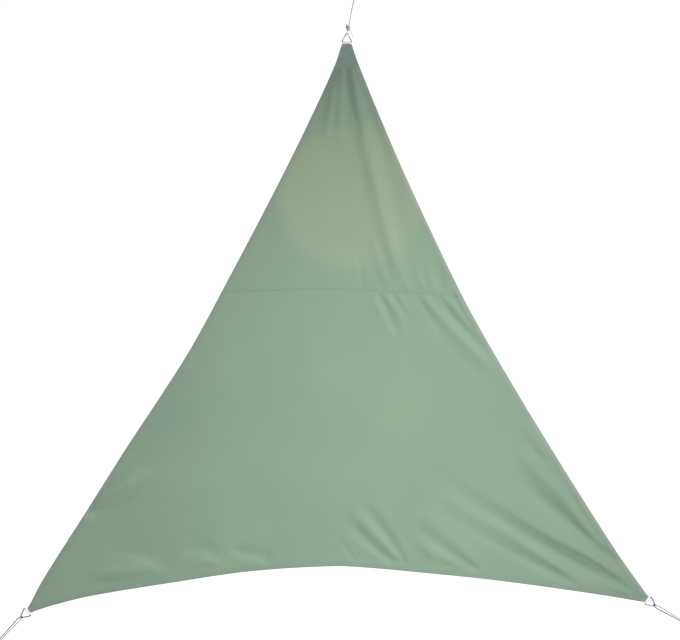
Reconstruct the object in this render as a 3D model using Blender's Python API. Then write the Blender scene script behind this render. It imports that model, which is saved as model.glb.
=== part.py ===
"""A triangular shade sail, three metres a side, drawn tight by its three corners.

Metres, +Z up. The cloth hangs in the XZ plane and its front looks towards -Y. The origin is the
inside of the top ring's point, where the rope that holds the sail up bears on the wire.
"""

import math
from collections import namedtuple

import bmesh
import bpy
from mathutils import Vector
from mathutils.geometry import delaunay_2d_cdt

GAP = 0.0003  # left between pieces that touch

# ---- cloth ----
CLOTH = 0.0012  # thickness of one layer
HEM = 0.0024  # thickness of the folded hem, whose second layer is at the back
HEM_WIDTH = 0.022
HEM_STEP = 0.003  # width over which the hem's sewn edge comes down to one layer
LAP = 0.015  # how far the upper panel's foot covers the lower panel's head
BELLY = 0.06  # how far the middle of the cloth stands forward of its corners

# ---- corner fittings ----
WIRE = 0.0055  # diameter of the ring's wire
RING_BASE = 0.050  # the ring's triangle, from sharp corner to sharp corner
RING_HEIGHT = 0.048
RING_BEND = 0.0045  # bend radius of the wire's centre at the ring's corners
WEB = 0.0015  # thickness of the webbing
WEB_WIDTH = 0.035
WEB_LEG = 0.050  # length of webbing sewn down behind the cloth
WEB_SLACK = 0.0005  # room between the webbing and the wire inside it
BAR_OUT = 0.008  # from the cloth's tip out to the middle of the ring's bar
FLARE = 0.001  # from the cloth's tip out to where the webbing parts round the bar

# ---- ropes ----
ROPE = 0.005  # diameter
BIGHT_DEPTH = 0.0075  # how far inside the ring's point the rope's centre turns
TOP_KNOT = (0.0085, 0.0085, 0.0125)  # half sizes of the knot over the top ring
TOP_KNOT_PLACE = (0.0065, 0.0, 0.028)
TOP_ROPE_BOW = 0.0015  # how far the standing rope hangs off its straight line
END_KNOT = (0.0080, 0.0080, 0.0095)  # half sizes of the knots at the ropes' far ends
STRAND_APART = 0.0056  # between the two strands' centres at the far knot

# One strand of the doubled rope, from the turn inside the ring's point to near the far knot:
# (outwards from the wire at the point, to the strand's own side, out of the ring's plane). The
# other strand mirrors it.
STRAND = (
    (-0.0045, 0.0022, 0.0061),
    (0.0060, 0.0050, 0.0085),
    (0.0260, 0.0062, 0.0075),
    (0.0600, 0.0052, 0.0050),
)
STRAND_END = (0.0300, 0.0009, 0.0018)  # the same, as distances short of the knot's own end point

# Routes of the rope round the top knot, from the knot's middle: (right, back, up).
KNOT_LOOP = (
    (-0.0020, -0.0030, -0.0040),
    (-0.0050, -0.0072, -0.0182),
    (-0.0062, -0.0072, -0.0262),
    (-0.0066, 0.0000, -0.0328),
    (-0.0062, 0.0072, -0.0262),
    (-0.0050, 0.0072, -0.0182),
    (-0.0010, 0.0030, -0.0040),
)
KNOT_STUB = ((-0.0030, 0.0000, 0.0030), (-0.0065, -0.0010, 0.0105), (-0.0085, -0.0010, 0.0175))
KNOT_TAIL = (
    (0.0030, -0.0020, -0.0030),
    (0.0085, -0.0040, -0.0120),
    (0.0155, -0.0030, -0.0265),
    (0.0235, -0.0010, -0.0480),
)
KNOT_ENDS = {"loop": (KNOT_LOOP, ROPE), "stub": (KNOT_STUB, 0.0045), "tail": (KNOT_TAIL, 0.0035)}

# ---- mesh spacing ----
CLOTH_STEP = 0.062
ROPE_STEP = 0.012
WIRE_SIDES = 2  # bevel resolution, eight sides

CLOTH_GREEN = (0.298, 0.417, 0.314)
WEB_WHITE = (0.80, 0.82, 0.84)
ROPE_GREY = (0.55, 0.55, 0.53)
STEEL = (0.42, 0.42, 0.43)


def heading(degrees):
    """A unit direction in the cloth's plane, counted from +X towards +Z."""
    return Vector((math.cos(math.radians(degrees)), math.sin(math.radians(degrees))))


# The ring's point is rounded, so its wire turns back a little short of the sharp corner.
HALF_POINT = math.atan2(RING_BASE / 2, RING_HEIGHT)
RING_TOP = RING_HEIGHT - RING_BEND / math.sin(HALF_POINT) + RING_BEND
RING_REACH = BAR_OUT + RING_TOP - WIRE / 2  # from the cloth's tip to the inside of the point

# Each corner: the middle of the cloth's cut tip, the tip's width, the direction in which webbing
# and ring are pulled, the direction of the rope, and the rope's length to its far knot.
Corner = namedtuple("Corner", "x z width pull rope reach")
TOP_PULL = 89.0
CORNERS = {
    "top": Corner(*(-RING_REACH * heading(TOP_PULL)), 0.046, TOP_PULL, 78.0, 0.182),
    "left": Corner(-1.517, -2.752, 0.022, 219.0, 227.0, 0.176),
    "right": Corner(1.429, -2.698, 0.033, -37.0, -29.5, 0.166),
}

# How far each edge draws in from the straight line between its corners, worked from the first
# corner named: (share of the way along, inward distance).
EDGES = {
    ("top", "left"): (
        (0.035, 0.020), (0.14, 0.045), (0.25, 0.061), (0.39, 0.072), (0.52, 0.077),
        (0.61, 0.062), (0.70, 0.040), (0.82, 0.019), (0.95, -0.004),
    ),
    ("left", "right"): (
        (0.04, 0.035), (0.10, 0.075), (0.23, 0.132), (0.36, 0.182), (0.495, 0.200),
        (0.56, 0.187), (0.63, 0.164), (0.76, 0.117), (0.92, 0.043),
    ),
    ("top", "right"): (
        (0.035, 0.017), (0.14, 0.050), (0.25, 0.077), (0.40, 0.101), (0.48, 0.105),
        (0.62, 0.091), (0.76, 0.067), (0.91, 0.034), (0.98, 0.009),
    ),
}

# The seam's middle line across the cloth: (x, z).
SEAM = ((-0.66, -1.238), (-0.50, -1.223), (-0.08, -1.211), (0.28, -1.227), (0.62, -1.254))

# The main folds, each from its deep end to its faint end: where it starts and ends, how far its
# middle bows to the left of that run, its depth (back is positive, a ridge is negative) and its
# half width.
Fold = namedtuple("Fold", "x0 z0 x1 z1 bow depth width")
FOLDS = (
    Fold(0.015, -0.134, 0.274, -1.223, -0.019, -0.0114, 0.032),  # ridge down from the top
    Fold(0.145, -1.235, 0.257, -1.469, 0.004, 0.0034, 0.020),  # short folds under the seam
    Fold(0.170, -1.236, 0.282, -1.440, 0.016, -0.0033, 0.020),
    Fold(0.355, -1.243, 0.755, -1.693, 0.003, -0.0057, 0.021),  # along the right edge under the seam
    Fold(0.426, -1.228, 0.708, -1.570, -0.014, 0.0078, 0.020),
    Fold(1.161, -2.652, 0.353, -2.202, 0.024, 0.0099, 0.025),  # the fan from the right corner
    Fold(1.191, -2.673, 0.309, -2.088, 0.000, -0.0100, 0.027),
    Fold(1.384, -2.664, 0.275, -1.998, 0.037, 0.0144, 0.032),
    Fold(1.408, -2.672, 0.483, -2.075, -0.002, -0.0144, 0.032),
    Fold(1.312, -2.560, 0.771, -2.036, 0.016, 0.0144, 0.032),
    Fold(1.254, -2.486, 0.795, -1.954, -0.004, -0.0078, 0.026),
    Fold(0.629, -2.557, 0.314, -2.343, 0.006, 0.0042, 0.022),  # up from the lower edge
    Fold(0.663, -2.559, 0.335, -2.271, -0.000, -0.0046, 0.031),
    Fold(0.229, -2.520, -0.034, -2.281, 0.011, 0.0053, 0.024),
    Fold(0.266, -2.517, -0.016, -2.226, 0.004, -0.0055, 0.021),
    Fold(0.274, -2.527, 0.031, -2.188, -0.015, 0.0048, 0.022),
    Fold(-1.260, -2.309, -0.951, -2.177, -0.009, 0.0089, 0.025),  # in from the left edge
    Fold(-1.249, -2.275, -0.870, -2.061, 0.016, -0.0059, 0.023),
    Fold(-1.273, -2.592, -0.823, -2.609, 0.047, -0.0073, 0.032),
)
FOLD_RISE = 0.15  # share of a fold's run over which it deepens
FOLD_FALL = 0.55  # and over which it fades again
CORNER_FLAT = (0.080, 0.170)  # the stiff tip: flat up to the first distance, free at the second

# ---- cloth planes: the ring's middle plane is y = 0 ----
UPPER_FRONT = -(HEM + GAP + WEB + GAP / 2)
LOWER_FRONT = UPPER_FRONT + CLOTH + GAP


def clear_scene():
    for obj in list(bpy.data.objects):
        bpy.data.objects.remove(obj, do_unlink=True)


def material(name, colour, roughness, metallic=0.0):
    mat = bpy.data.materials.new(name)
    mat.use_nodes = True
    shader = mat.node_tree.nodes["Principled BSDF"]
    shader.inputs["Base Color"].default_value = (*colour, 1.0)
    shader.inputs["Roughness"].default_value = roughness
    shader.inputs["Metallic"].default_value = metallic
    return mat


def add_object(name, data, mat):
    obj = bpy.data.objects.new(name, data)
    data.materials.append(mat)
    bpy.context.scene.collection.objects.link(obj)
    return obj


def mesh_object(name, bm, mat, smooth_angle=None):
    bmesh.ops.recalc_face_normals(bm, faces=bm.faces)
    mesh = bpy.data.meshes.new(name)
    bm.to_mesh(mesh)
    bm.free()
    if smooth_angle is not None:
        mesh.shade_smooth()
        mesh.set_sharp_from_angle(angle=math.radians(smooth_angle))
    return add_object(name, mesh, mat)


# ---- shared curves ----


def smoothstep(value, low, high):
    t = min(1.0, max(0.0, (value - low) / (high - low)))
    return t * t * (3 - 2 * t)


def smooth_value(rows, at):
    """The value at a place on the smooth curve through rows of (place, value)."""
    rows = list(rows)
    slopes = []
    for i in range(len(rows)):
        before, after = rows[max(i - 1, 0)], rows[min(i + 1, len(rows) - 1)]
        slopes.append((after[1] - before[1]) / (after[0] - before[0]))
    i = max(k for k in range(len(rows) - 1) if k == 0 or rows[k][0] <= at)
    (a, va), (b, vb) = rows[i], rows[i + 1]
    t, span = (at - a) / (b - a), b - a
    rise = va * (1 + 2 * t) * (1 - t) ** 2 + vb * t * t * (3 - 2 * t)
    return rise + span * (slopes[i] * t * (1 - t) ** 2 - slopes[i + 1] * t * t * (1 - t))


def smooth_route(points, step, least=2):
    """Points about a step apart on the smooth curve through the route's points."""
    ends = [2 * points[0] - points[1], *points, 2 * points[-1] - points[-2]]
    line = []
    for a, b, c, d in zip(ends, ends[1:], ends[2:], ends[3:]):
        count = max(least, math.ceil((c - b).length / step))
        for k in range(count):
            t = k / count
            line.append(
                0.5 * (2 * b + (c - a) * t + (2 * a - 5 * b + 4 * c - d) * t**2
                       + (3 * b - a - 3 * c + d) * t**3)
            )
    return line + [points[-1]]


# ---- the cloth's outline ----


def tip_ends(name):
    """A corner tip's two ends, the one to the left of its pull first."""
    corner = CORNERS[name]
    middle, side = Vector((corner.x, corner.z)), heading(corner.pull + 90) * corner.width / 2
    return middle + side, middle - side


def edge_ends(start, end):
    if (start, end) == ("top", "right"):
        return tip_ends("top")[1], tip_ends("right")[0]
    return tip_ends(start)[0], tip_ends(end)[1]


def edge_line(start, end, step, inset=0.0):
    """An edge from corner to corner in steps, moved inwards by inset."""
    a, b = edge_ends(start, end)
    along = (b - a).normalized()
    centre = Vector((0.0, (CORNERS["left"].z + CORNERS["right"].z) / 3))
    inward = Vector((-along.y, along.x))
    if inward.dot(centre - a) < 0:
        inward.negate()
    rows = ((0.0, 0.0), *EDGES[start, end], (1.0, 0.0))
    count = round((b - a).length / step)
    line = [
        a.lerp(b, k / count) + inward * (smooth_value(rows, k / count) + inset)
        for k in range(count + 1)
    ]
    return line


def outline(step):
    """The cloth's edge, counter-clockwise as seen from the front."""
    left, foot = edge_line("top", "left", step), edge_line("left", "right", step)
    right = edge_line("top", "right", step)
    return left + foot + right[::-1]


def distance(point, line):
    best = math.inf
    for a, b in zip(line, line[1:]):
        run = b - a
        t = min(1.0, max(0.0, (point - a).dot(run) / run.length_squared))
        best = min(best, (point - a - run * t).length)
    return best


def inside(point, loop):
    crossings = 0
    for a, b in zip(loop, loop[1:] + loop[:1]):
        if (a.y > point.y) != (b.y > point.y):
            crossings += point.x < a.x + (b.x - a.x) * (point.y - a.y) / (b.y - a.y)
    return crossings % 2 == 1


# ---- the cloth's relief ----


def belly(point):
    """0 at the three corners' straight lines, 1 in the middle of the cloth."""
    a, b, c = (Vector((k.x, k.z)) for k in CORNERS.values())
    whole = (b - a).cross(c - a)
    shares = ((b - point).cross(c - point), (c - point).cross(a - point), (a - point).cross(b - point))
    product = 27.0
    for share in shares:
        product *= max(0.0, share / whole)
    return product


def fold_height(fold, point):
    start, end = Vector((fold.x0, fold.z0)), Vector((fold.x1, fold.z1))
    run = end - start
    t = (point - start).dot(run) / run.length_squared
    if not 0.0 < t < 1.0:
        return 0.0
    side = (point - start).cross(run) / run.length + fold.bow * 4 * t * (1 - t)
    fade = smoothstep(t, 0.0, FOLD_RISE) * smoothstep(1 - t, 0.0, FOLD_FALL)
    width = fold.width * (0.6 + 0.7 * t)
    return fold.depth * fade * math.exp(-((side / width) ** 2))


def relief(point):
    """How far behind its corners the cloth lies at a point."""
    reach = min((point - Vector((k.x, k.z))).length for k in CORNERS.values())
    free = smoothstep(reach, *CORNER_FLAT)
    return free * (sum(fold_height(f, point) for f in FOLDS) - BELLY * belly(point))


# ---- the two panels ----


def seam_z(x):
    return smooth_value(SEAM, x)


def seam_line(offset):
    """The seam's line moved up by offset, run a little past both edges."""
    first, last = SEAM[0][0], SEAM[-1][0]
    count = round((last - first) / CLOTH_STEP)
    xs = [first + (last - first) * k / count for k in range(count + 1)]
    return [Vector((x, seam_z(x) + offset)) for x in xs]


def fold_points(fold):
    """Points along a fold's bottom and both its flanks."""
    start, end = Vector((fold.x0, fold.z0)), Vector((fold.x1, fold.z1))
    run = end - start
    left = Vector((-run.y, run.x)).normalized()
    count = round(run.length / CLOTH_STEP)
    for k in range(1, count):
        t = k / count
        middle = start.lerp(end, t) + left * fold.bow * 4 * t * (1 - t)
        for side in (-1.3, 0.0, 1.3):
            yield middle + left * side * fold.width * (0.6 + 0.7 * t)


def cloth_points(loop, edges, seams):
    """Points spread over the cloth: the folds' own, and an even field between them."""
    hem = HEM_WIDTH + HEM_STEP
    chosen = []

    def add(point, apart):
        if not inside(point, loop) or min(distance(point, e) for e in edges) < hem + apart / 3:
            return
        if min(distance(point, s) for s in seams) < apart / 3:
            return
        if all((point - other).length > apart for other in chosen):
            chosen.append(point)

    for fold in FOLDS:
        for point in fold_points(fold):
            add(point, 0.4 * CLOTH_STEP)
    low_x, high_x = min(p.x for p in loop), max(p.x for p in loop)
    low_z, high_z = min(p.y for p in loop), max(p.y for p in loop)
    row_height = CLOTH_STEP * math.sqrt(3) / 2
    for row in range(int((high_z - low_z) / row_height) + 1):
        shift = CLOTH_STEP / 2 * (row % 2)
        for column in range(int((high_x - low_x) / CLOTH_STEP) + 1):
            place = Vector((low_x + shift + column * CLOTH_STEP, low_z + row * row_height))
            add(place, 0.72 * CLOTH_STEP)
    return chosen


def cut_cloth():
    """The flat cloth as points and triangles, with lines along its hems and its seam."""
    loop = outline(CLOTH_STEP)
    edges = {pair: edge_line(*pair, CLOTH_STEP) for pair in EDGES}
    seams = [seam_line(LAP / 2), seam_line(-LAP / 2)]
    points, lines = list(loop), []

    def add_line(line):
        first = len(points)
        points.extend(line)
        lines.extend((k, k + 1) for k in range(first, len(points) - 1))

    for pair in EDGES:
        others = [line for key, line in edges.items() if key != pair]
        for inset in (HEM_WIDTH, HEM_WIDTH + HEM_STEP):
            run = edge_line(*pair, CLOTH_STEP, inset)
            add_line([p for p in run if min(distance(p, o) for o in others) > inset])
    for seam in seams:
        add_line(seam)
    points.extend(cloth_points(loop, list(edges.values()), seams))
    found, _, faces, *_ = delaunay_2d_cdt(
        points, lines, [list(range(len(loop)))], 1, 1e-6
    )
    return found, faces


def panel(name, points, faces, front, own, mat):
    """One panel: the faces that are its own, from its front surface back by its thickness."""
    edges = [edge_line(*pair, CLOTH_STEP) for pair in EDGES]
    kept = [f for f in faces if own(sum((points[i] for i in f), Vector((0.0, 0.0))) / len(f))]
    bm = bmesh.new()
    near, far = {}, {}
    for i in sorted({i for f in kept for i in f}):
        place = points[i]
        y = front + relief(place)
        hem = smoothstep(min(distance(place, e) for e in edges), HEM_WIDTH, HEM_WIDTH + HEM_STEP)
        in_lap = abs(place.y - seam_z(place.x)) < LAP / 2 + GAP
        single = in_lap and front == UPPER_FRONT
        thick = CLOTH if single else HEM + (CLOTH - HEM) * hem
        near[i] = bm.verts.new((place.x, y, place.y))
        far[i] = bm.verts.new((place.x, y + thick, place.y))
    sides = set()
    for face in kept:
        bm.faces.new([near[i] for i in face])
        bm.faces.new([far[i] for i in reversed(face)])
        sides.update(zip(face, face[1:] + face[:1]))
    for a, b in sorted(sides):
        if (b, a) not in sides:
            bm.faces.new((near[b], near[a], far[a], far[b]))
    bmesh.ops.triangulate(bm, faces=[f for f in bm.faces if len(f.verts) > 3])
    return mesh_object(name, bm, mat, smooth_angle=40)


def make_panels():
    points, faces = cut_cloth()
    cloth = material("cloth", CLOTH_GREEN, 0.85)

    def above(middle):
        return middle.y > seam_z(middle.x) - LAP / 2

    def below(middle):
        return middle.y < seam_z(middle.x) + LAP / 2

    panel("upper_panel", points, faces, UPPER_FRONT, above, cloth)
    panel("lower_panel", points, faces, LOWER_FRONT, below, cloth)


# ---- corner fittings ----


class CornerFrame:
    """Places a point given as (across the pull, forward or back, outwards from the ring's bar)."""

    def __init__(self, name):
        corner = CORNERS[name]
        self.out, self.across = heading(corner.pull), heading(corner.pull - 90)
        self.bar = Vector((corner.x, corner.z)) + self.out * BAR_OUT
        self.depth = 0.0 if name == "top" else LOWER_FRONT - UPPER_FRONT

    def place(self, across, depth, out):
        flat = self.bar + self.across * across + self.out * out
        return Vector((flat.x, self.depth + depth, flat.y))


def rounded_triangle(steps=4):
    """The ring's centre line as (across, out), its corners bent round."""
    corners = [
        Vector((-RING_BASE / 2, 0.0)), Vector((RING_BASE / 2, 0.0)), Vector((0.0, RING_HEIGHT)),
    ]
    line = []
    for i, corner in enumerate(corners):
        back = (corners[i - 1] - corner).normalized()
        ahead = (corners[(i + 1) % 3] - corner).normalized()
        half = back.angle(ahead) / 2
        centre = corner + (back + ahead).normalized() * RING_BEND / math.sin(half)
        start = corner + back * RING_BEND / math.tan(half) - centre
        for k in range(steps + 1):
            turn = (math.pi - 2 * half) * k / steps
            cos, sin = math.cos(turn), math.sin(turn)
            line.append(centre + Vector((start.x * cos - start.y * sin, start.x * sin + start.y * cos)))
    return line


def tube(name, line, diameter, mat, closed=False, sides=WIRE_SIDES):
    curve = bpy.data.curves.new(name, "CURVE")
    curve.dimensions = "3D"
    curve.bevel_depth = diameter / 2
    curve.bevel_resolution = sides
    curve.use_fill_caps = not closed
    spline = curve.splines.new("POLY")
    spline.points.add(len(line) - 1)
    for point, place in zip(spline.points, line):
        point.co = (*place, 1.0)
    spline.use_cyclic_u = closed
    spline.use_smooth = True
    return add_object(name, curve, mat)


def webbing_section():
    """The webbing's path from one sewn end round the bar to the other, as (depth, out)."""
    leg = WEB / 2 + GAP / 2
    turn = WIRE / 2 + WEB_SLACK + WEB / 2
    path = [(-leg, -BAR_OUT - WEB_LEG), (-leg, FLARE - BAR_OUT)]
    for degrees in range(-120, 121, 24):
        angle = math.radians(degrees)
        path.append((turn * math.sin(angle), turn * math.cos(angle)))
    return path + [(leg, FLARE - BAR_OUT), (leg, -BAR_OUT - WEB_LEG)]


def webbing(name, frame, mat):
    path = [Vector(p) for p in webbing_section()]
    outer, inner = [], []
    for i, point in enumerate(path):
        ahead, back = path[min(i + 1, len(path) - 1)], path[max(i - 1, 0)]
        normal = Vector((-(ahead - back).y, (ahead - back).x)).normalized()
        outer.append(point + normal * WEB / 2)
        inner.append(point - normal * WEB / 2)
    bm = bmesh.new()
    rows = []
    for across in (-WEB_WIDTH / 2, WEB_WIDTH / 2):
        rows.append([
            [bm.verts.new(frame.place(across, p.x, p.y)) for p in line] for line in (outer, inner)
        ])
    (outer_a, inner_a), (outer_b, inner_b) = rows
    for i in range(len(path) - 1):
        bm.faces.new((outer_a[i], outer_a[i + 1], outer_b[i + 1], outer_b[i]))
        bm.faces.new((inner_a[i + 1], inner_a[i], inner_b[i], inner_b[i + 1]))
        bm.faces.new((outer_a[i + 1], outer_a[i], inner_a[i], inner_a[i + 1]))
        bm.faces.new((outer_b[i], outer_b[i + 1], inner_b[i + 1], inner_b[i]))
    for i in (0, -1):
        bm.faces.new((outer_a[i], outer_b[i], inner_b[i], inner_a[i]))
    return mesh_object(name, bm, mat, smooth_angle=50)


def knot_mesh(middle, half, axis, turns=3, lumps=3, rounds=10, rows=8):
    """A tied knot's lumpy barrel, its lobes winding round the rope's direction."""
    tilt = Vector((0.0, 0.0, 1.0)).rotation_difference(axis)
    bm = bmesh.new()
    ends = [bm.verts.new(middle + tilt @ Vector((0.0, 0.0, s * half[2]))) for s in (-1, 1)]
    rings = []
    for row in range(1, rows):
        rise = -math.cos(math.pi * row / rows)
        wide = math.sqrt(1 - abs(rise) ** 3)
        ring = []
        for k in range(rounds):
            angle = 2 * math.pi * k / rounds
            lump = 1 + 0.08 * math.cos(lumps * angle + turns * rise)
            spot = Vector((half[0] * wide * lump * math.cos(angle),
                           half[1] * wide * lump * math.sin(angle), half[2] * rise))
            ring.append(bm.verts.new(middle + tilt @ spot))
        rings.append(ring)
    for low, high in zip(rings, rings[1:]):
        for k in range(rounds):
            n = (k + 1) % rounds
            bm.faces.new((low[k], low[n], high[n], high[k]))
    for end, ring, step in ((ends[0], rings[0], -1), (ends[1], rings[-1], 1)):
        for k in range(rounds):
            bm.faces.new((end, ring[k], ring[(k + step) % rounds]))
    return bm


def join_into(base, cutter_objects):
    """Fuse the helper objects into base, and leave them out of the model."""
    for helper in cutter_objects:
        helper.hide_render = True
        helper.display_type = "WIRE"
        union = base.modifiers.new(helper.name, "BOOLEAN")
        union.operation, union.solver, union.object = "UNION", "EXACT", helper


def to_mesh_object(obj):
    """The same piece as a mesh, because only a mesh can be fused to another."""
    evaluated = obj.evaluated_get(bpy.context.evaluated_depsgraph_get())
    mesh = bpy.data.meshes.new_from_object(evaluated)
    name = obj.name
    bpy.data.objects.remove(obj, do_unlink=True)
    made = bpy.data.objects.new(name, mesh)
    bpy.context.scene.collection.objects.link(made)
    return made


# ---- ropes ----


def far_knot_place(name):
    """The middle of the knot at the far end of a corner's rope."""
    corner, frame = CORNERS[name], CornerFrame(name)
    point = frame.place(0.0, 0.0, RING_TOP)
    run = heading(corner.rope) * corner.reach
    return point + Vector((run.x, 0.0, run.y))


def doubled_rope(name, mat):
    """Out from the far knot, through the ring and back to the knot, as one length of rope."""
    frame, knot = CornerFrame(name), far_knot_place(name)
    point = frame.place(0.0, 0.0, RING_TOP)
    away = (knot - point).normalized()
    forward = Vector((0.0, -1.0, 0.0))
    aside = away.cross(forward)
    reach = (knot - point).length - END_KNOT[2] - GAP
    along, side, stand = STRAND_END
    run = [*STRAND, (reach - along, STRAND_APART / 2 + side, stand), (reach, STRAND_APART / 2, 0.0)]
    strands = [
        [point + away * a + (aside * s + forward * f) * hand for a, s, f in run]
        for hand in (1, -1)
    ]
    turn = frame.place(0.0, 0.0, RING_TOP - BIGHT_DEPTH)
    route = strands[0][::-1] + [turn] + strands[1]
    return tube(f"{name}_rope", smooth_route(route, ROPE_STEP), ROPE, mat)


def top_rope(mat):
    """The standing rope from the knot over the top ring up to its far knot."""
    far, knot = far_knot_place("top"), Vector(TOP_KNOT_PLACE)
    axis = (far - knot).normalized()
    start = knot + axis * (TOP_KNOT[2] + GAP)
    end = far - axis * (END_KNOT[2] + GAP)
    middle = start.lerp(end, 0.5) - Vector((TOP_ROPE_BOW, 0.0, 0.0))
    return tube("top_rope", smooth_route([start, middle, end], ROPE_STEP), ROPE, mat)


def top_knot(mat):
    """The knot that ties the rope round the top ring's point, with its loop and two free ends."""
    middle = Vector(TOP_KNOT_PLACE)
    axis = (far_knot_place("top") - middle).normalized()
    knot = mesh_object("top_knot", knot_mesh(middle, TOP_KNOT, axis), mat, smooth_angle=60)
    parts = []
    for name, (route, diameter) in KNOT_ENDS.items():
        line = smooth_route([middle + Vector(offset) for offset in route], ROPE_STEP)
        parts.append(to_mesh_object(tube(f"knot_{name}", line, diameter, mat)))
    join_into(knot, parts)
    return knot


def make_corners():
    web = material("webbing", WEB_WHITE, 0.75)
    steel = material("steel", STEEL, 0.22, metallic=1.0)
    rope = material("rope", ROPE_GREY, 0.8)
    for name in CORNERS:
        frame = CornerFrame(name)
        webbing(f"{name}_webbing", frame, web)
        ring = [frame.place(p.x, 0.0, p.y) for p in rounded_triangle()]
        tube(f"{name}_ring", ring, WIRE, steel, closed=True)
        far = far_knot_place(name)
        away = (far - frame.place(0.0, 0.0, RING_TOP)).normalized()
        mesh_object(f"{name}_end_knot", knot_mesh(far, END_KNOT, away), rope, smooth_angle=60)
    doubled_rope("left", rope)
    doubled_rope("right", rope)
    top_rope(rope)
    top_knot(rope)


clear_scene()
make_panels()
make_corners()
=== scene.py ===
"""The looks of a triangular shade sail, three metres a side, drawn tight by its three corners.

Metres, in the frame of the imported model: X right, +Z up, the cloth's front towards -Y, and the
origin at the inside of the top ring's point. Sizes and routes repeat those of the solids.
"""

import math
from collections import namedtuple

import bpy
import numpy as np
from mathutils.geometry import delaunay_2d_cdt
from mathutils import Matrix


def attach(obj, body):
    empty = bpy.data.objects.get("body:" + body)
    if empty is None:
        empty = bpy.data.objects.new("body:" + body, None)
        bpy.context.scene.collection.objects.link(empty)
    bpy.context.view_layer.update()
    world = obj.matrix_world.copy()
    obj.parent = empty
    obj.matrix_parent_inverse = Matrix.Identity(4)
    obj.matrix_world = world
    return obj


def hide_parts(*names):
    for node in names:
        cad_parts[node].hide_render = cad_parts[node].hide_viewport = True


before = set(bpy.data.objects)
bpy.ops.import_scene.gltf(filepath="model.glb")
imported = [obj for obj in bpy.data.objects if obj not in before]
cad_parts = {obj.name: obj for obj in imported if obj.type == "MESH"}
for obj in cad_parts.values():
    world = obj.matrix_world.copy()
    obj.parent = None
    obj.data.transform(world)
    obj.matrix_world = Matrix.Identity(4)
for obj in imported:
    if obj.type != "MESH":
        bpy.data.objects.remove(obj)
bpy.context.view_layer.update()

GAP = 0.0003

# ---- view ----
VIEW_CENTRE = (-0.0333, -1.3651)  # the point of the sail's plane in the middle of the picture
VIEW_WIDTH = 3.245  # of the sail's plane, over the picture's width
VIEW_DISTANCE = 7.5
FLOOR_Z = -4.90
FLOOR = 60.0  # half its width
GLOW_CENTRE = (0.024, -0.778)  # the pale disc of light on the upper cloth
GLOW_RADIUS = 0.395

# ---- cloth ----
CLOTH = 0.0012
HEM = 0.0024
WEB = 0.0015  # the webbing's thickness
HEM_WIDTH = 0.022
HEM_END = HEM_WIDTH + 0.001  # where it has come down to one layer
LAP = 0.015
BELLY = 0.06
UPPER_FRONT = -(HEM + GAP + WEB + GAP / 2)
LOWER_FRONT = UPPER_FRONT + CLOTH + GAP
CLOTH_STEP = 0.010
HEM_POINTS = 0.0052  # spacing along the hems and the seam
HEM_ROWS = (0.0004, 0.0012, 0.0035, 0.0110, 0.0180, 0.0195, 0.0210, HEM_WIDTH, HEM_END)
STITCH_IN = 0.0195  # from the edge in to the hem's row of stitches
SEAM_ROWS = (0.0075, 0.0068, 0.0059, 0.0045, 0.0031, 0.0)  # either side of the seam's middle
SEAM_FOOT = (0.0083, 0.0092, 0.0102, 0.0125)  # below it, where the lower panel comes forward
SEAM_SWELL = 0.00138  # how far it comes forward there
SEAM_SWELL_REACH = 0.07  # over which it goes back again
SEAM_STITCH = 0.0045  # from the seam's middle to each of its rows of stitches
GROOVE = 0.00025  # how deep a row of stitches sinks into each face
GROOVE_WIDTH = 0.0011
# The small waves along the sewing: height, middle's distance from the edge or seam, half width.
HEM_PUCKER = (0.00032, 0.017, 0.011)
SEAM_PUCKER = (0.00030, 0.0, 0.016)

# ---- corner fittings ----
WIRE = 0.0055
RING_BASE = 0.050
RING_HEIGHT = 0.048
RING_BEND = 0.0045
WEB_WIDTH = 0.035
WEB_LEG = 0.050
WEB_SLACK = 0.0005
BAR_OUT = 0.008
FLARE = 0.001
RIB = 0.0021  # pitch of the webbing's ribs
RIB_HEIGHT = 0.00022
BOX_HALF = 0.0135  # the box of stitches: half its width, and how far in it starts and ends
BOX_NEAR = BAR_OUT + 0.006
BOX_FAR = BAR_OUT + 0.042

# ---- ropes ----
ROPE = 0.005
ROPE_SIDES = 32
ROPE_GREY = 0.34  # how grey the lower ropes are, and how much more so one strand of each is
STRAND_DARK = 0.64
STUB = 0.0058  # the two free ends at the top knot, one short, one long and thin
TAIL = 0.0033
BIGHT_DEPTH = 0.0075
TOP_KNOT = 0.0125  # half the knot's length
TOP_TURNS = {"radius": 0.0076, "turns": 3.4, "start": 150.0}
TOP_KNOT_PLACE = (0.0065, 0.0, 0.028)
TOP_ROPE_BOW = 0.0015
END_KNOT = 0.0095
END_TURNS = {"radius": 0.0050, "turns": 2.0, "start": 40.0}
STRAND_APART = 0.0056
STRAND = (  # outwards from the wire at the ring's point, to the strand's side, out of its plane
    (-0.0045, 0.0022, 0.0061),
    (0.0060, 0.0050, 0.0085),
    (0.0260, 0.0062, 0.0075),
    (0.0600, 0.0052, 0.0050),
)
STRAND_END = (0.0300, 0.0009, 0.0018)
ROPE_STEP = 0.0007
PLAITS = 8  # raised plaits round the rope
PLAIT_LENGTH = 0.0044
PLAIT_HEIGHT = 0.00022

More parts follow.
